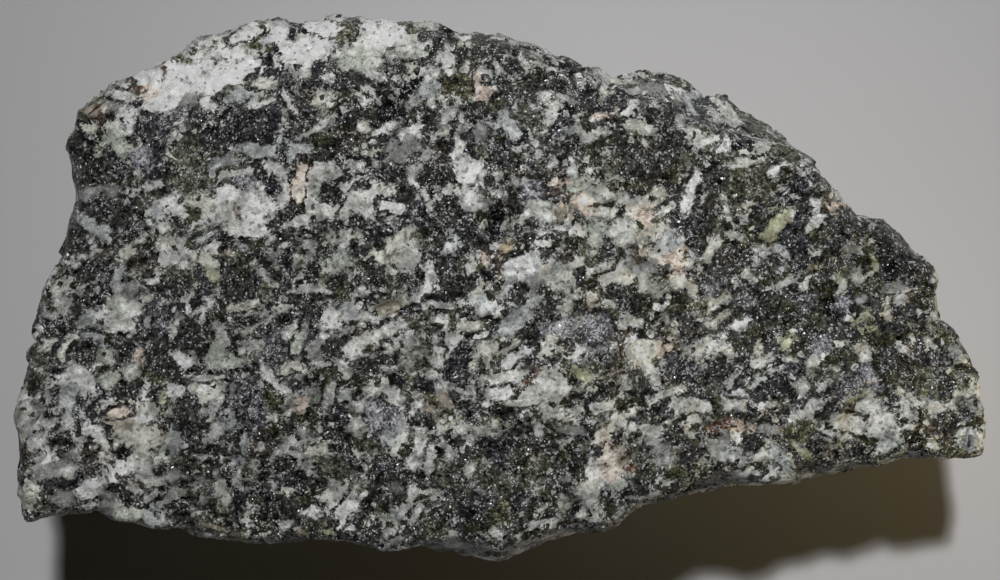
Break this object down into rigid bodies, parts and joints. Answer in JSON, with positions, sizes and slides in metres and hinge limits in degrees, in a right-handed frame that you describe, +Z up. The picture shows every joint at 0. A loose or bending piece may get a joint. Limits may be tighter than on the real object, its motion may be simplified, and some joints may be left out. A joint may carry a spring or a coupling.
{
  "type": "rock specimen",
  "caption": "A hand-sized block of coarse diabase with a broad, gently uneven broken face and ragged walls, for display or study; it lies on a small flat spot on its underside.",
  "frame": {"origin": "centre of the bounding box at its bottom, on the plane of the flat resting spot", "axes": "+Z up out of the broad face, +X along the long side towards the tapered end, +Y across towards the curved long edge"},
  "size_m": [0.098, 0.0551, 0.0289],
  "materials": {
    "diabase": "broken rock: interlocking pale greenish-grey laths and near-black grains up to a few millimetres long, with white, cream and pink patches; rough, with small glints on crystal faces"
  },
  "bodies": {
    "root": {"stone": "diabase"}
  },
  "joints": []
}
